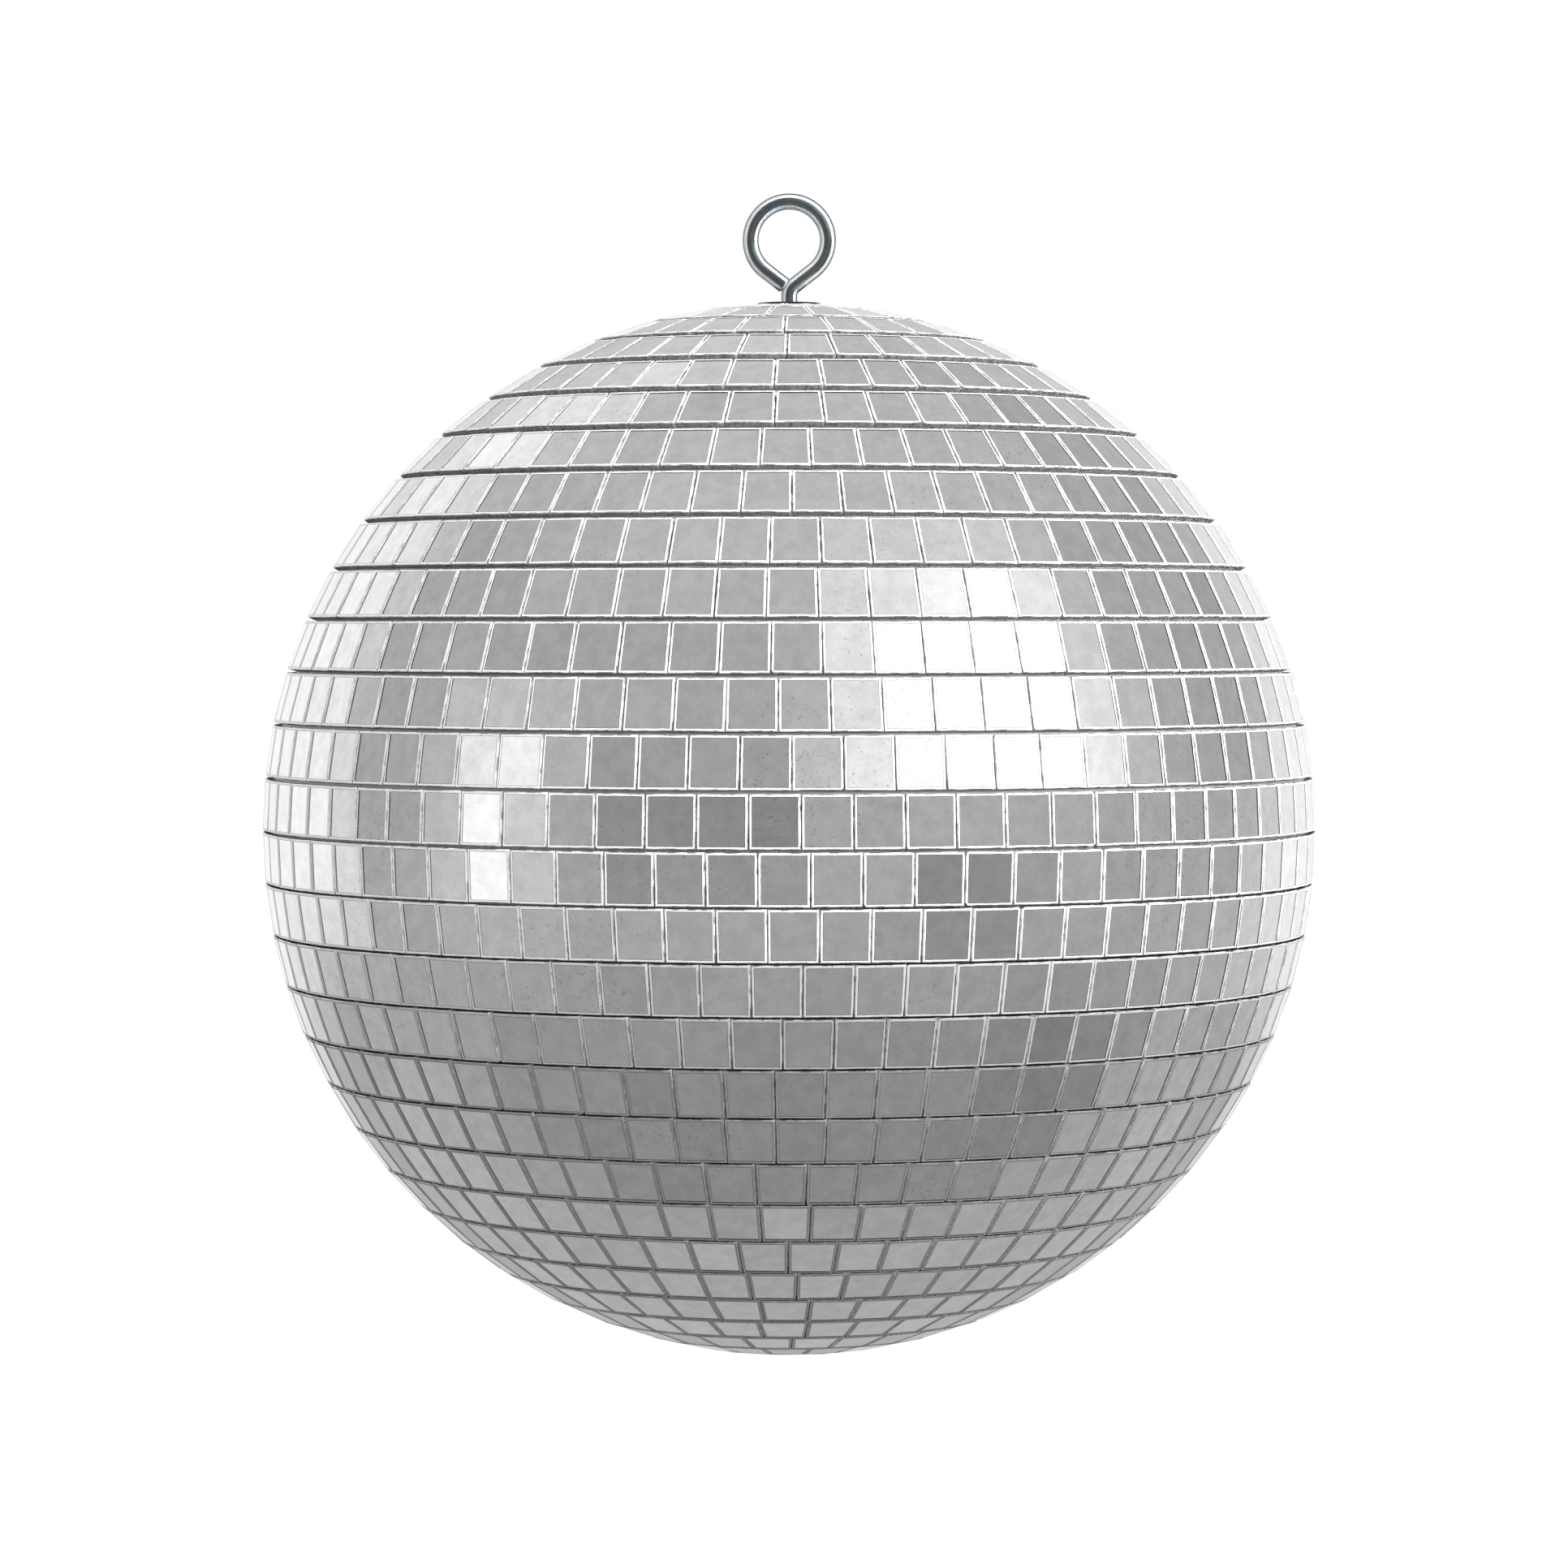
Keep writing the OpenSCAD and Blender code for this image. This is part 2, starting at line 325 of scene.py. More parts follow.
def cloth_material():
    """Plain-woven white backing cloth, 0.4 mm threads, with glue soaked in here and there."""
    made, g = material("cloth_weave")
    place = g.place()
    x, y, z = g.split(place)
    around = g.math("MULTIPLY", g.math("ARCTAN2", y, x), 250.0)
    along = g.math("MULTIPLY", z, 2500.0 * math.pi)
    warp = g.math("SINE", g.math("MULTIPLY", around, math.pi))
    weft = g.math("SINE", along)
    weave = g.math("MULTIPLY", warp, weft)
    fuzz = g.noise(place, 5000.0, 3.0)
    height = g.math("ADD", weave, fuzz)
    soaked = g.ramp(g.noise(place, 90.0, 3.0), 0.55, 0.7)
    # Painted shade: the colour darkens where the weave lies low, between the threads.
    shade = g.ramp(weave, -1.0, 1.0, 0.82, 1.0)
    color = g.mix(soaked, (0.84, 0.83, 0.79, 1), (0.72, 0.69, 0.6, 1))
    finish_material(
        g,
        Base_Color=g.tint(color, shade),
        Roughness=g.ramp(soaked, 0.0, 1.0, 0.92, 0.45),
        Sheen_Weight=0.2,
        Normal=g.bump(height, 0.00005),
    )
    return made


def shell_material():
    """Moulded white plastic with a fine texture and flow marks."""
    made, g = material("shell_plastic_moulded")
    place = g.place()
    flow = g.noise(place, 22.0, 4.0)
    grain = g.noise(place, 2200.0, 2.0)
    finish_material(
        g,
        Base_Color=g.mix(g.ramp(flow, 0.35, 0.65), (0.84, 0.84, 0.82, 1), (0.9, 0.9, 0.89, 1)),
        Roughness=g.ramp(grain, 0.3, 0.7, 0.38, 0.52),
        Normal=g.bump(grain, 0.00002),
    )
    return made


def glue_material():
    made, g = material("glue_bead")
    place = g.place()
    lumps = g.noise(place, 400.0, 3.0)
    finish_material(
        g,
        Base_Color=g.mix(g.ramp(lumps, 0.3, 0.7), (0.76, 0.69, 0.5, 1), (0.86, 0.81, 0.66, 1)),
        Roughness=g.ramp(lumps, 0.3, 0.7, 0.22, 0.4),
        Subsurface_Weight=0.15,
        Normal=g.bump(lumps, 0.00006),
    )
    return made


def zinc_wire_material():
    """Bright zinc plate, dark blue-grey where it faces the viewer and tinted by the passivation, with a painted
    highlight band towards the sides.
    """
    made, g = material("zinc_wire_plate")
    place = g.place()
    facing = g.node("ShaderNodeLayerWeight", {"Blend": 0.5}).outputs["Facing"]
    tint_field = g.noise(place, 160.0, 3.0)
    core = g.mix(g.ramp(tint_field, 0.42, 0.6), (0.17, 0.215, 0.255, 1), (0.23, 0.25, 0.24, 1))
    # Painted highlight: the pale colour of the band towards the sides of the wire, chosen by viewing angle.
    side = g.mix(g.ramp(tint_field, 0.5, 0.68), (0.86, 0.9, 0.94, 1), (0.9, 0.92, 0.8, 1))
    wear = g.ramp(g.noise(place, 900.0, 4.0), 0.4, 0.75)
    painted_highlight_band = g.math("MULTIPLY", g.ramp(facing, 0.09, 0.15), g.ramp(facing, 0.38, 0.48, 1.0, 0.0))
    color = g.mix(painted_highlight_band, core, side)
    draw_marks = g.noise(g.vector("MULTIPLY", place, (1.0, 6.0, 1.0)), 700.0, 3.0)
    finish_material(
        g,
        Base_Color=g.mix(g.math("MULTIPLY", wear, 0.14), color, (0.5, 0.53, 0.55, 1)),
        # The painted highlight band is also partly matt, so the room's fill light brightens it.
        Metallic=g.math("SUBTRACT", 1.0, g.math("MULTIPLY", painted_highlight_band, 0.7)),
        Roughness=g.math("ADD", g.ramp(draw_marks, 0.3, 0.7, 0.08, 0.14), g.math("MULTIPLY", wear, 0.05)),
        Normal=g.bump(draw_marks, 0.00002),
    )
    return made


def steel_material(name, dark, light, rough_low, rough_high, ring_marks):
    """Turned or brushed steel: fine rings about the shank, with dull patches."""
    made, g = material(name)
    place = g.place()
    x, y, z = g.split(place)
    radius = g.math("SQRT", g.math("ADD", g.math("MULTIPLY", x, x), g.math("MULTIPLY", y, y)))
    ring_place = g.node("ShaderNodeCombineXYZ", {"X": radius, "Y": g.math("MULTIPLY", z, 0.5)}).outputs[0]
    rings = g.noise(ring_place, ring_marks, 3.0)
    patches = g.noise(place, 350.0, 3.0)
    finish_material(
        g,
        Base_Color=g.mix(g.ramp(patches, 0.35, 0.65), dark, light),
        Metallic=1.0,
        Roughness=g.ramp(rings, 0.3, 0.7, rough_low, rough_high),
        Normal=g.bump(rings, 0.00002),
    )
    return made


# --------------------------------------------------------------- mesh helpers

class Sketch:
    """Collects the points and faces of one piece, in mm, and makes the object."""

    def __init__(self):
        self.points = []
        self.faces = []
        self.slots = []
        self.smooth = []

    def add_face(self, corners, slot=0, smooth=True):
        self.faces.append(corners)
        self.slots.append(slot)
        self.smooth.append(smooth)

    def add_strip(self, below, above, slot=0, smooth=True):
        """Quads between two closed loops of point numbers of the same length."""
        count = len(below)
        for i in range(count):
            j = (i + 1) % count
            self.add_face((below[i], below[j], above[j], above[i]), slot, smooth)

    def make(self, name, materials):
        mesh = bpy.data.meshes.new(name)
        points = np.array(self.points) * MM
        mesh.from_pydata(points.tolist(), [], self.faces)
        for shade in materials:
            mesh.materials.append(shade)
        mesh.polygons.foreach_set("material_index", self.slots)
        mesh.polygons.foreach_set("use_smooth", self.smooth)
        mesh.update()
        made = bpy.data.objects.new(name, mesh)
        bpy.context.scene.collection.objects.link(made)
        return made


def revolve(name, profile, steps, shade, shift=None, sharp_deg=35.0):
    """A closed profile of (radius, z) points in mm, turned about +Z. shift(turn, point) moves points."""
    sketch = Sketch()
    loops = []
    for step in range(steps):
        turn = 2 * math.pi * step / steps
        loop = []
        for number, (radius, z) in enumerate(profile):
            extra_r, extra_z = shift(turn, number) if shift else (0.0, 0.0)
            loop.append(len(sketch.points))
            sketch.points.append((
                (radius + extra_r) * math.cos(turn), (radius + extra_r) * math.sin(turn), z + extra_z))
        loops.append(loop)
    for step in range(steps):
        here, there = loops[step], loops[(step + 1) % steps]
        for a in range(len(profile)):
            b = (a + 1) % len(profile)
            sketch.add_face((here[a], there[a], there[b], here[b]))
    made = sketch.make(name, [shade])
    made.data.set_sharp_from_angle(angle=math.radians(sharp_deg))
    return made


def box_mm(node):
    low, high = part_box(node)
    return np.array(low) / MM, np.array(high) / MM


def put(piece, body, slot, *nodes):
    """The piece rides on a body and stands for its CAD nodes, which are hidden. The slot is not used."""
    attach(piece, body)
    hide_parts(*nodes)


# ---------------------------------------------------------------- glass tiles

def solids_of(node):
    """The corner points in mm of each solid of a CAD node."""
    mesh = frame["nodes"][node].data
    number_of = {}
    weld = [number_of.setdefault(tuple(v.co), len(number_of)) for v in mesh.vertices]
    parent = list(range(len(number_of)))

    def root(i):
        while parent[i] != i:
            parent[i] = parent[parent[i]]
            i = parent[i]
        return i

    for polygon in mesh.polygons:
        first, *others = [weld[v] for v in polygon.vertices]
        for other in others:
            parent[root(other)] = root(first)
    groups = {}
    for point, number in number_of.items():
        groups.setdefault(root(number), []).append(point)
    return [np.array(group) / MM for group in groups.values()]


def unit(vector):
    return vector / np.linalg.norm(vector)


def tile_axes(points):
    """The middle of a tile's front, and its east, north and outward directions."""
    outward = unit(points.mean(0))
    order = np.argsort(points @ outward)
    front = points[order[len(points) // 2:]]
    middle = front.mean(0)
    normal = np.linalg.svd(front - middle)[2][2]
    normal = normal * math.copysign(1.0, normal @ outward)
    level = np.cross(UP, normal)
    east = unit(level) if np.linalg.norm(level) > 0.01 else np.array([1.0, 0.0, 0.0])
    north = np.cross(normal, east)
    corners = np.column_stack([(front - middle) @ east, (front - middle) @ north])
    turn = np.arctan2(corners[:, 1], corners[:, 0])
    return middle, east, north, normal, corners[np.argsort(turn)]


def cut_outline(corners, dice):
    """The outline of a hand-cut tile: slightly wavering sides, and now and then a chipped corner."""
    outline = []
    count = len(corners)
    for i in range(count):
        here, after, before = corners[i], corners[(i + 1) % count], corners[i - 1]
        side, last_side = unit(after - here), unit(here - before)
        inward = np.array([-side[1], side[0]])
        if dice.random() < CHIP_CHANCE:
            size = dice.uniform(*CHIP_SIZE)
            outline.append(here - last_side * size)
            outline.append(here + (side - last_side) * size * dice.uniform(0.3, 0.5))
            start = here + side * size * dice.uniform(0.6, 1.1)
        else:
            start = here
        outline.append(start)
        for part in range(1, SIDE_SEGMENTS):
            point = start + (after - start) * part / SIDE_SEGMENTS
            outline.append(point + inward * dice.uniform(0.0, CUT_WAVER))
    return np.array(outline)


def inset(outline, amount):
    """The outline moved inwards by amount."""
    before, after = np.roll(outline, 1, 0), np.roll(outline, -1, 0)
    side_in, side_out = outline - before, after - outline
    side_in /= np.linalg.norm(side_in, axis=1)[:, None]
    side_out /= np.linalg.norm(side_out, axis=1)[:, None]
    normal_in = np.column_stack([-side_in[:, 1], side_in[:, 0]])
    normal_out = np.column_stack([-side_out[:, 1], side_out[:, 0]])
    blend = normal_in + normal_out
    return outline + amount * blend / (1 + (normal_in * normal_out).sum(1))[:, None]


def edge_rooms(corners, points):
    """Each point's distance to the west, east, south and north edges of the tile."""
    rooms = np.full((len(points), 4), 99.0)
    for i, here in enumerate(corners):
        side = unit(corners[(i + 1) % len(corners)] - here)
        inward = np.array([-side[1], side[0]])
        distance = (points - here) @ inward
        if abs(inward[0]) > abs(inward[1]):
            column = 0 if inward[0] > 0 else 1
        else:
            column = 2 if inward[1] > 0 else 3
        rooms[:, column] = np.minimum(rooms[:, column], distance)
    return rooms


def tile_row(name, node, shades, dice):
    """All tiles of one CAD node, each laid by hand, with ground edges, chips and a painted back."""
    sketch = Sketch()
    easts, norths, rooms, tones = [], [], [], []
    solids = solids_of(node)
    calm = min(1.0, len(solids) / FULL_JITTER_COUNT)

    def stray(amount):
        return dice.uniform(-amount, amount) * calm

    for points in solids:
        middle, east, north, normal, corners = tile_axes(points)
        turn = math.radians(stray(LAY_TURN))
        east, north = (
            east * math.cos(turn) + north * math.sin(turn),
            north * math.cos(turn) - east * math.sin(turn),
        )
        tilt_east, tilt_north = math.tan(math.radians(stray(LAY_TILT))), math.tan(math.radians(stray(LAY_TILT)))
        east, north = unit(east + normal * tilt_east), unit(north + normal * tilt_north)
        normal = unit(np.cross(east, north))
        middle = middle + east * stray(LAY_EAST) + north * stray(LAY_NORTH)
        width, height = np.ptp(corners, axis=0)
        grow_end = GROW_END_ABOVE if middle[2] > 0 else GROW_END_BELOW
        corners = corners * (1 + 2 * (GROW_SIDE + stray(LAY_WIDTH)) / width, 1 + 2 * grow_end / height)
        outline = cut_outline(corners, dice)
        tone = dice.random()
        loops = []
        for amount, depth in ((ARRIS, 0.0), (ARRIS * 0.29, ARRIS * 0.29), (0.0, ARRIS), (TAPER, GLASS_T)):
            flat = inset(outline, amount)
            first = len(sketch.points)
            spread = flat[:, :1] * east + flat[:, 1:] * north
            sketch.points.extend(middle + spread - normal * depth)
            rooms.append(edge_rooms(corners, flat))
            loops.append(list(range(first, first + len(flat))))
            easts.extend([east] * len(flat))
            norths.extend([north] * len(flat))
            tones.extend([tone] * len(flat))
        sketch.add_face(loops[0], 0, False)
        sketch.add_strip(loops[1], loops[0], 1)
        sketch.add_strip(loops[2], loops[1], 1)
        sketch.add_strip(loops[3], loops[2], 2)
        sketch.add_face(loops[3][::-1], 3, False)
    made = sketch.make(name, shades)
    attributes = made.data.attributes
    for key, kind, field, values in (
        ("tile_east", "FLOAT_VECTOR", "vector", easts),
        ("tile_north", "FLOAT_VECTOR", "vector", norths),
        ("edge_room", "FLOAT_COLOR", "color", np.concatenate(rooms)),
        ("tile_tone", "FLOAT", "value", tones),
    ):
        attributes.new(key, kind, "POINT").data.foreach_set(field, np.array(values, np.float32).ravel())
    return made


def build_tiles():
    shades = [mirror_face_material(), arris_material(), cut_edge_material(), back_paint_material()]
    nodes = sorted(n for n in frame["nodes"] if n.startswith("mirror_row_")) + ["pole_tile"]
    for number, node in enumerate(nodes):
        dice = random.Random(1000 + number)
        put(tile_row("glass_" + node, node, shades, dice), "ball", "mirror_glass", node)


# ---------------------------------------------------------------------- cloth

def cloth_strips(name, node, shade):
    """Strips of woven cloth on the shell, each a thin cone with puckers and an uneven cut edge."""
    across = 8
    steps = 288
    sketch = Sketch()
    for points in solids_of(node):
        radius = np.hypot(points[:, 0], points[:, 1])
        z = points[:, 2]
        low, high = z.min(), z.max()
        if radius.min() < 0.5:
            low_z, high_z = low, high
            add_patch(sketch, radius.max(), low_z, high_z)
            continue
        add_strip_of_cloth(sketch, radius, z, across, steps)
    made = sketch.make(name, [shade])
    return made


def strip_section(radius, z):
    """Both ends of a strip's middle line, its outward direction and thickness, from its corner points."""
    rounds = sorted({(round(r, 2), round(h, 2)) for r, h in zip(radius, z)})
    section = np.array(rounds)
    middle = section.mean(0)
    outward = unit(middle)
    along = np.array([-outward[1], outward[0]])
    reach = (section - middle) @ along
    depth = (section - middle) @ outward
    half = np.percentile(np.abs(reach), 90)
    return middle, along, outward, half, depth.max() - depth.min()


def add_strip_of_cloth(sketch, radius, z, across, steps):
    middle, along, outward, half, thickness = strip_section(radius, z)
    grid = []
    for step in range(steps):
        turn = 2 * math.pi * step / steps
        ray = np.array([math.cos(turn), math.sin(turn)])
        fray = 0.06 * noise.noise(Vector((ray[0] * 40, ray[1] * 40, middle[1])))
        column = []
        for face in (1, -1):
            for part in range(across + 1):
                share = (part / across * 2 - 1) * face
                pucker = 0.03 * noise.noise(Vector((ray[0] * 25, ray[1] * 25, share * 2 + middle[1])))
                spot = middle + along * share * (half + fray) + outward * (face * thickness * 0.46 + pucker)
                column.append(len(sketch.points))
                sketch.points.append((spot[0] * ray[0], spot[0] * ray[1], spot[1]))
        grid.append(column)
    width = len(grid[0])
    for step in range(steps):
        here, there = grid[step], grid[(step + 1) % steps]
        for a in range(width):
            b = (a + 1) % width
            sketch.add_face((here[a], here[b], there[b], there[a]))


def add_patch(sketch, reach, low, high):
    """Round patch of cloth over the lower pole."""
    steps = 64
    rings = 8
    loops = []
    for face, level in ((-1, low), (1, high)):
        order = range(1, rings + 1) if face < 0 else range(rings, 0, -1)
        for ring in order:
            loop = []
            for step in range(steps):
                turn = 2 * math.pi * step / steps
                r = reach * ring / rings * (1 + 0.012 * math.sin(5 * turn + ring))
                pucker = 0.02 * noise.noise(Vector((r * math.cos(turn), r * math.sin(turn), 3.0)))
                loop.append(len(sketch.points))
                sketch.points.append((r * math.cos(turn), r * math.sin(turn), level + pucker))
            loops.append(loop)
    for a, b in zip(loops, loops[1:]):
        sketch.add_strip(b, a)
    sketch.add_face(tuple(loops[0])[::-1])
    sketch.add_face(tuple(loops[-1]))


def build_cloth():
    shade = cloth_material()
    for half in ("upper", "lower"):
        node = half + "_cloth"
        put(cloth_strips("woven_" + node, node, shade), "ball", "cloth", node)


# ------------------------------------------------------------------- eye bolt

# Shape of the wire below the ring, as in the CAD source
LEG_ANGLE = math.radians(52)
NECK_R = 2.5
FREE_END_GAP = 0.9
# The free end passes this far in front of the neck, over the last stretch of the leg
FREE_END_LEAN = 0.7
FREE_END_STRETCH = 8.0
THREAD_PITCH = 0.5
THREAD_DEPTH = 0.2
THREAD_LENGTH = 7.5


def wire_path(ring_z, ring_r, foot_z):
    """Middle line of the wire in the XZ plane, from the foot of the shank to the free end."""
    apex_z = ring_z - ring_r / math.sin(LEG_ANGLE)
    exit_x = NECK_R * (1 - math.cos(LEG_ANGLE))
    neck_z = apex_z + exit_x / math.tan(LEG_ANGLE) - NECK_R * math.sin(LEG_ANGLE)
    path = [(0.0, z) for z in np.arange(foot_z, foot_z + THREAD_LENGTH, THREAD_PITCH / 8)]
    path += [(0.0, z) for z in np.linspace(foot_z + THREAD_LENGTH, neck_z, 24)]
    for turn in np.linspace(0, LEG_ANGLE, 14)[1:]:
        path.append((NECK_R - NECK_R * math.cos(turn), neck_z + NECK_R * math.sin(turn)))
    leg = ring_r / math.tan(LEG_ANGLE)
    for reach in np.linspace(exit_x / math.sin(LEG_ANGLE), leg, 12)[1:-1]:
        path.append((reach * math.sin(LEG_ANGLE), apex_z + reach * math.cos(LEG_ANGLE)))
    for turn in np.linspace(-LEG_ANGLE, math.pi + LEG_ANGLE, 120):
        path.append((ring_r * math.cos(turn), ring_z + ring_r * math.sin(turn)))
    for reach in np.linspace(leg, FREE_END_GAP, 14)[1:]:
        path.append((-reach * math.sin(LEG_ANGLE), apex_z + reach * math.cos(LEG_ANGLE)))
    return np.array(path)


def build_eye_bolt():
    """The bent wire: rolled thread on the shank, round bends and a sheared free end."""
    low, high = box_mm("eye_bolt")
    wire_r = (high[1] - low[1]) / 2
    ring_r = (high[0] - low[0]) / 2 - wire_r
    ring_z = frame["record"]["mounts"][0]["pos_m"][2] / MM
    path = wire_path(ring_z, ring_r, low[2])
    sides = 32
    sketch = Sketch()
    loops = []
    ways = np.gradient(path, axis=0)
    ways /= np.linalg.norm(ways, axis=1)[:, None]
    run = np.concatenate([[0], np.cumsum(np.linalg.norm(np.diff(path, axis=0), axis=1))])
    end_round = 0.4
    for (x, z), (way_x, way_z), at in zip(path, ways, run):
        end = run[-1] - at
        shrink = end_round - math.sqrt(max(0.0, end_round ** 2 - max(0.0, end_round - end) ** 2))
        start_chamfer = max(0.0, 0.4 - at)
        lean = FREE_END_LEAN * max(0.0, 1.0 - end / FREE_END_STRETCH) ** 2
        loop = []
        for side in range(sides):
            turn = 2 * math.pi * side / sides
            radius = wire_r - shrink - start_chamfer
            if at < THREAD_LENGTH:
                wave = 0.5 - 0.5 * math.cos(2 * math.pi * (at / THREAD_PITCH) - turn)
                fade = min(1.0, (THREAD_LENGTH - at) / 0.8)
                radius -= THREAD_DEPTH * wave * fade
            loop.append(len(sketch.points))
            out_x, out_z = way_z, -way_x
            sketch.points.append((
                x + out_x * radius * math.cos(turn),
                radius * math.sin(turn) - lean,
                z + out_z * radius * math.cos(turn),
            ))
        loops.append(loop)
    for a, b in zip(loops, loops[1:]):
        sketch.add_strip(a, b)
    sketch.add_face(tuple(loops[0])[::-1], 0, False)
    sketch.add_face(tuple(loops[-1]), 0, False)
    made = sketch.make("bent_eye_bolt", [zinc_wire_material()])
    made.visible_glossy = False
    put(made, "hanger", "zinc_wire", "eye_bolt")


# ----------------------------------------------------------- washers and nuts

def rounded_profile(inner, outer, low, high, soft):
    """Section of a washer with its edges rounded by soft."""
    points = []
    for r, z, start in (
        (outer - soft, low + soft, -90), (outer - soft, high - soft, 0),
        (inner + soft, high - soft, 90), (inner + soft, low + soft, 180),
    ):
        for turn in (0, 30, 60, 90):
            angle = math.radians(start + turn)
            points.append((r + soft * math.cos(angle), z + soft * math.sin(angle)))
    return points


def bore_of(node):
    radius = [np.hypot(p[:, 0], p[:, 1]).min() for p in solids_of(node)]
    return min(radius)


def build_washer(name, node, shade, slot, dish):
    low, high = box_mm(node)
    soft = (high[2] - low[2]) * 0.3
    profile = rounded_profile(bore_of(node), high[0], low[2], high[2], soft)

    def shift(turn, number):
        return 0.0, dish * math.sin(2 * turn + 0.7)

    put(revolve(name, profile, 96, shade, shift), "ball", slot, node)


def build_nut(name, node, shade):
    """Hex nut with chamfered corners and a countersunk, threaded bore."""
    low, high = box_mm(node)
    bore = bore_of(node)
    corner = max(np.hypot(p[:, 0], p[:, 1]).max() for p in solids_of(node))
    far = max(solids_of(node)[0], key=lambda p: math.hypot(p[0], p[1]))
    first = math.atan2(far[1], far[0])
    flat = corner * math.cos(math.pi / 6)
    sketch = Sketch()
    steps = 96
    height = high[2] - low[2]
    lead = 0.25
    turns = 12
    columns = []
    for step in range(steps):
        turn = 2 * math.pi * step / steps + first
        off = (turn - first) % (math.pi / 3) - math.pi / 6
        edge = flat / math.cos(off)
        crown = min(edge, flat * 1.0)
        drop = (edge - crown) * math.tan(math.radians(30))
        section = [
            (bore + lead, low[2]), (crown, low[2]), (edge, low[2] + drop),
            (edge, high[2] - drop), (crown, high[2]), (bore + lead, high[2]),
        ]
        for level in range(turns * 4 + 1):
            share = level / (turns * 4)
            z = high[2] - lead - (height - 2 * lead) * share
            groove = 0.5 - 0.5 * math.cos(2 * math.pi * z / THREAD_PITCH - turn)
            section.append((bore + 0.12 * groove, z))
        column = []
        for radius, z in section:
            column.append(len(sketch.points))
            sketch.points.append((radius * math.cos(turn), radius * math.sin(turn), z))
        columns.append(column)
    for step in range(steps):
        here, there = columns[step], columns[(step + 1) % steps]
        for a in range(len(here)):
            b = (a + 1) % len(here)
            sketch.add_face((here[a], there[a], there[b], here[b]))
    made = sketch.make(name, [shade])
    made.data.set_sharp_from_angle(angle=math.radians(24))
    put(made, "hanger", "zinc_nut", node)


def build_fittings():
    dark = steel_material("washer_dark_steel", (0.03, 0.03, 0.033, 1), (0.06, 0.06, 0.063, 1), 0.4, 0.6, 2500.0)
    zinc = steel_material("nut_zinc_plate", (0.6, 0.62, 0.64, 1), (0.72, 0.73, 0.72, 1), 0.22, 0.4, 2500.0)
    build_washer("pressed_top_washer", "top_washer", dark, "dark_washer", 0.0)
    build_washer("pressed_inner_washer", "inner_washer", zinc, "zinc_nut", 0.0)
    build_nut("chamfered_hex_nut", "hex_nut", zinc)
    build_nut("chamfered_jam_nut", "jam_nut", zinc)


# ------------------------------------------------------------- shell and glue

def build_shells():
    shade = shell_material()
    for node in ("upper_shell", "lower_shell"):
        mesh = frame["nodes"][node].data
        mesh.materials.clear()
        mesh.materials.append(shade)


def build_glue():
    """Bead of hot-melt glue, lumpy where the nozzle paused."""
    low, high = box_mm("seam_glue")
    inner = bore_of("seam_glue")
    outer = high[0]
    middle_r, middle_z = (inner + outer) / 2, (low[2] + high[2]) / 2
    half_r, half_z = (outer - inner) / 2, (high[2] - low[2]) / 2
    profile = []
    for number in range(14):
        turn = 2 * math.pi * number / 14
        profile.append((middle_r + half_r * 0.92 * math.cos(turn), middle_z + half_z * 0.9 * math.sin(turn)))

    def shift(turn, number):
        lump = noise.noise(Vector((math.cos(turn) * 30, math.sin(turn) * 30, number * 0.2)))
        return 0.03 * lump, 0.03 * lump

    put(revolve("glue_bead_ring", profile, 360, glue_material(), shift), "ball", "glue", "seam_glue")


# ---------------------------------------------------------- studio and camera

# Matt surfaces get more light than the mirrors show: the room this many times over,
# and the softbox at this radiance
ROOM_FILL = 1.45
SOFTBOX_FILL = 8.5


def soft_box(g, value, low, high, edge):
    """1 between low and high, fading to 0 over edge on each side."""
    rise = g.ramp(value, low - edge / 2, low + edge / 2)
    fall = g.ramp(value, high - edge / 2, high + edge / 2, 1.0, 0.0)
    return g.math("MULTIPLY", rise, fall)


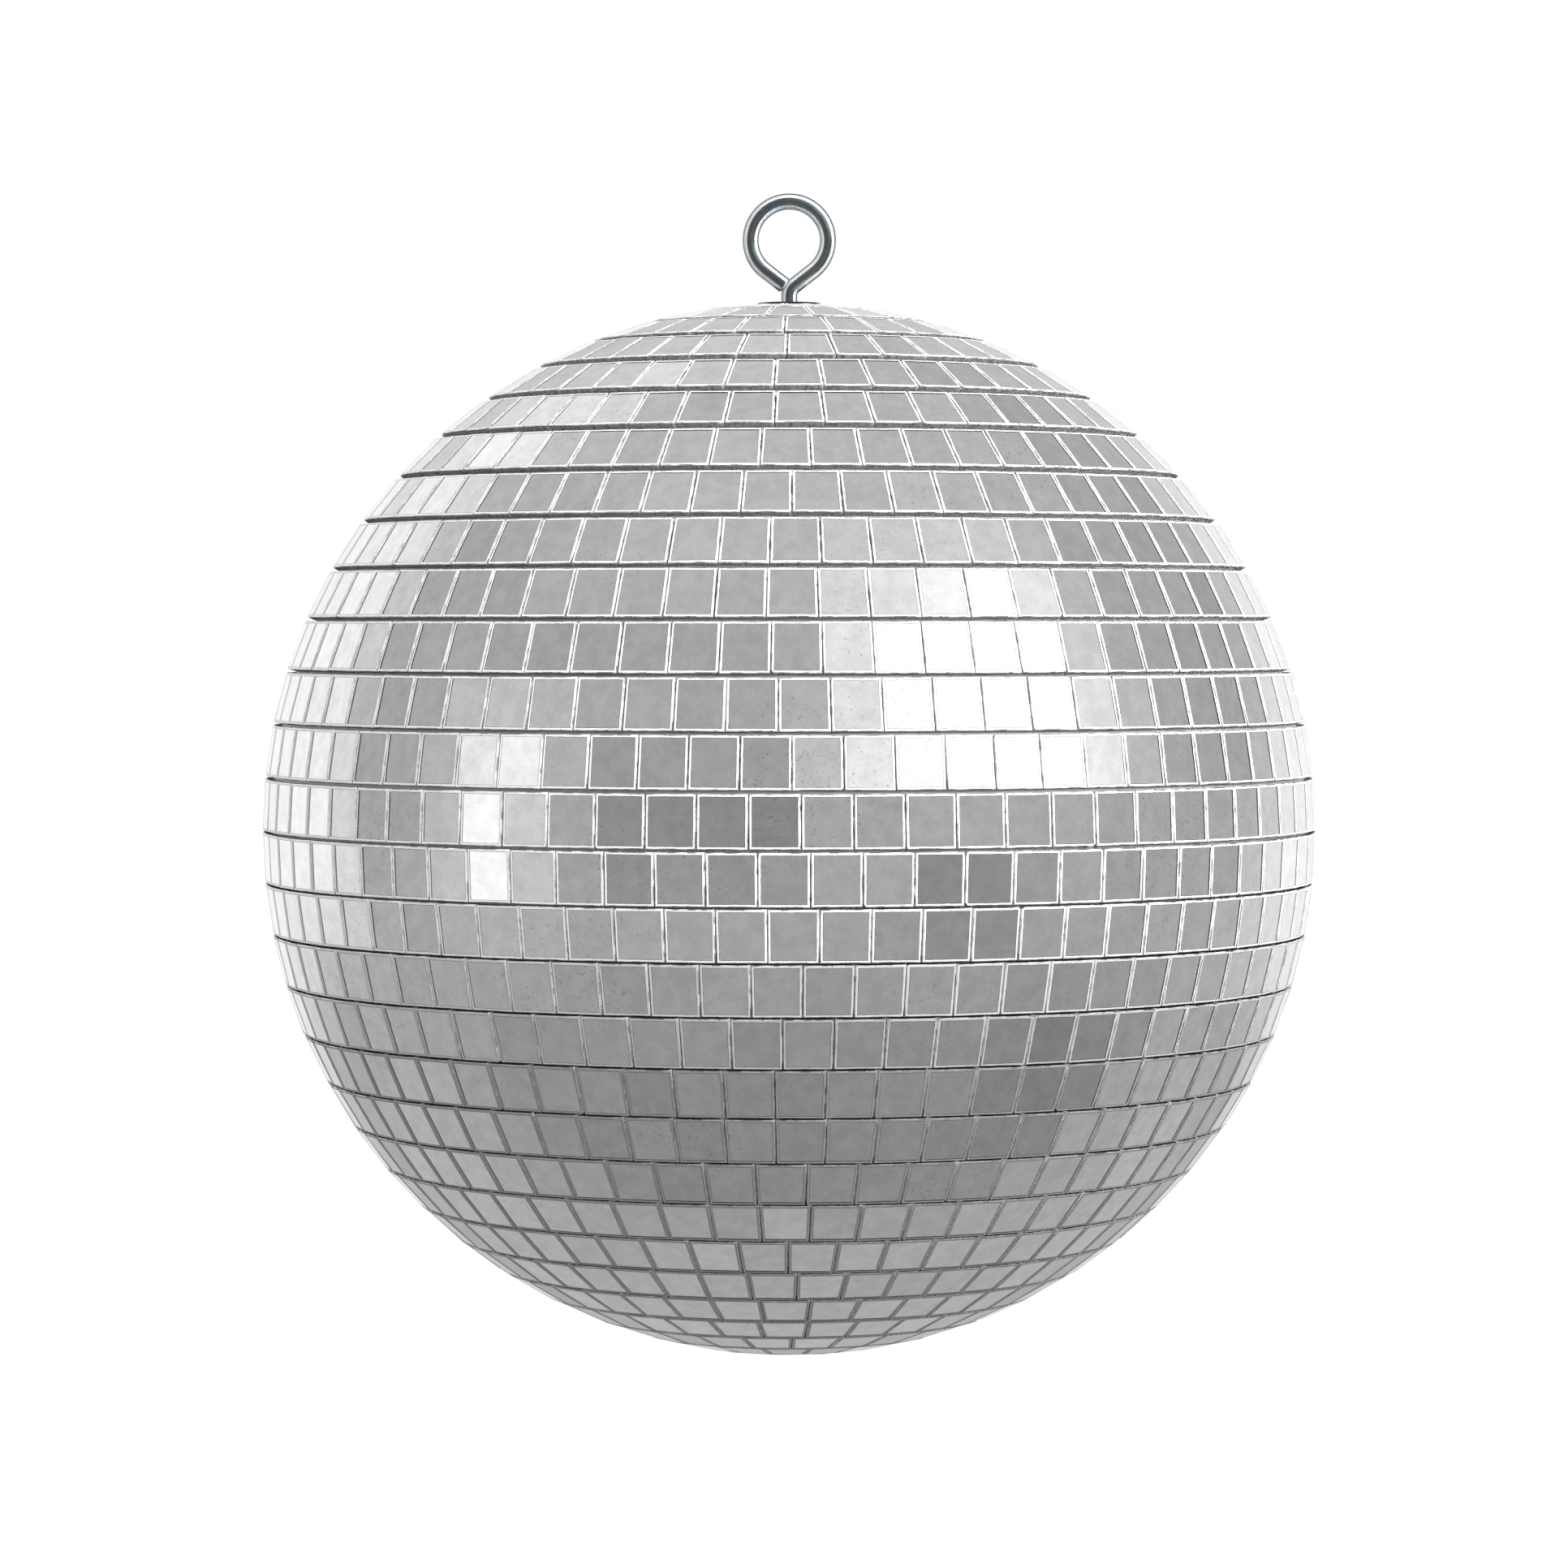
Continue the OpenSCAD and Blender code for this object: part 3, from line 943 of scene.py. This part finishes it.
def build_studio_light():
    """A grey room with a large softbox high on the right, a strip light on the left and white behind.

    The room turns with the camera's heading, so every side of the ball is seen in the same light."""
    world = bpy.data.worlds.new("studio")
    bpy.context.scene.world = world
    world.use_nodes = True
    g = Graph(world.node_tree)
    ray = g.vector("SCALE", g.node("ShaderNodeNewGeometry").outputs["Incoming"], -1.0)
    right = g.node(
        "ShaderNodeVectorTransform", {"Vector": (1.0, 0.0, 0.0)},
        vector_type="VECTOR", convert_from="CAMERA", convert_to="WORLD",
    ).outputs[0]
    ahead = g.vector("CROSS_PRODUCT", (0.0, 0.0, 1.0), right)
    sideways = g.vector("DOT_PRODUCT", ray, right)
    forwards = g.vector("DOT_PRODUCT", ray, ahead)
    degrees = 180.0 / math.pi
    azimuth = g.math("MULTIPLY", g.math("ARCTAN2", sideways, g.math("MULTIPLY", forwards, -1.0)), degrees)
    height = g.math("MULTIPLY", g.math("ARCSINE", g.split(ray)[2]), degrees)
    behind = g.math("ABSOLUTE", azimuth)

    room = g.ramp(height, -60.0, -5.0, 0.27, 0.42)
    room = g.math("ADD", room, g.ramp(height, 35.0, 65.0, 0.0, 0.11))
    room = g.math("ADD", room, g.math(
        "MULTIPLY", g.ramp(behind, 70.0, 130.0, 0.0, 0.14), g.ramp(height, -35.0, -15.0, 1.0, 0.0)))
    patches = (
        # azimuth from and to, height from and to, soft edge, radiance
        (-42, 2, -10, 15, 12, 0.28),
        (26, 54, -24, -2, 10, 0.29),
        (55, 95, -60, -28, 16, 0.24),
        (-80, -52, -16, 26, 14, 0.62),
        (-72, -60, -12, 20, 3, 1.05),
    )
    for west, east, low, high, edge, radiance in patches:
        mask = g.math(
            "MULTIPLY", soft_box(g, azimuth, west, east, edge), soft_box(g, height, low, high, edge))
        room = g.mix(mask, room, radiance, "FLOAT")
    east_side = g.ramp(g.math("SUBTRACT", azimuth, g.math("MULTIPLY", height, 0.9)), 110.0, 146.0)
    west_side = g.ramp(g.math("ADD", azimuth, g.math("MULTIPLY", height, 0.38)), -124.0, -98.0, 1.0, 0.0)
    backdrop = g.math("MULTIPLY", g.math("MAXIMUM", east_side, west_side), g.ramp(height, -22.0, -4.0))
    backdrop = g.math("MULTIPLY", backdrop, g.ramp(height, 42.0, 68.0, 1.0, 0.0))
    shaded = g.math("MULTIPLY", g.ramp(behind, 140.0, 165.0), soft_box(g, height, 16, 50, 14))
    room = g.mix(backdrop, room, g.ramp(shaded, 0.0, 1.0, 0.98, 0.62), "FLOAT")
    halo = g.math("MULTIPLY", soft_box(g, azimuth, 6, 86, 18), soft_box(g, height, 9, 65, 14))
    room = g.mix(g.math("MULTIPLY", halo, 0.6), room, 0.85, "FLOAT")
    softbox = g.math("MULTIPLY", soft_box(g, azimuth, 15, 73, 13), soft_box(g, height, 9, 50, 11))
    path = g.node("ShaderNodeLightPath")
    matt = path.outputs["Is Diffuse Ray"]
    room = g.math("MULTIPLY", room, g.mix(matt, 1.0, ROOM_FILL, "FLOAT"))
    seen_softbox = g.ramp(azimuth, 16.0, 42.0, 1.05, 1.3)
    room = g.mix(softbox, room, g.mix(matt, seen_softbox, SOFTBOX_FILL, "FLOAT"), "FLOAT")
    strength = g.mix(path.outputs["Is Camera Ray"], room, 1.0, "FLOAT")
    light = g.node("ShaderNodeBackground", {"Color": (1, 1, 1, 1), "Strength": strength})
    g.node("ShaderNodeOutputWorld", {"Surface": light.outputs[0]})
    bpy.context.scene.view_settings.view_transform = "Standard"


def build_floor():
    """Pale studio floor, well below the hanging ball."""
    made, g = material("studio_floor")
    light = g.node("ShaderNodeEmission", {"Color": (1, 1, 1, 1), "Strength": 1.0})
    g.node("ShaderNodeOutputMaterial", {"Surface": light.outputs[0]})
    sketch = Sketch()
    for step in range(96):
        turn = 2 * math.pi * step / 96
        sketch.points.append((6000 * math.cos(turn), 6000 * math.sin(turn), -1500.0))
    sketch.add_face(tuple(range(96)), 0, False)
    floor = sketch.make("floor", [made])
    floor.visible_glossy = False
    floor.visible_diffuse = False
    floor.visible_shadow = False


def build_camera():
    """Camera a metre in front of the ball, a little above its middle, as the photograph was taken."""
    camera = bpy.data.objects.new("camera", bpy.data.cameras.new("camera"))
    bpy.context.scene.collection.objects.link(camera)
    camera.location = (0.0, -1.0, 0.04)
    target = Vector((-0.001, 0.0, 0.0085))
    camera.rotation_mode = "QUATERNION"
    camera.rotation_quaternion = (target - camera.location).to_track_quat("-Z", "Y")
    camera.data.lens = 120.4
    camera.data.sensor_width = 36.0
    camera.data.clip_start = 0.01
    camera.data.clip_end = 100.0
    bpy.context.scene.camera = camera


build_tiles()
build_cloth()
build_eye_bolt()
build_fittings()
build_shells()
build_glue()
build_studio_light()
build_floor()
build_camera()
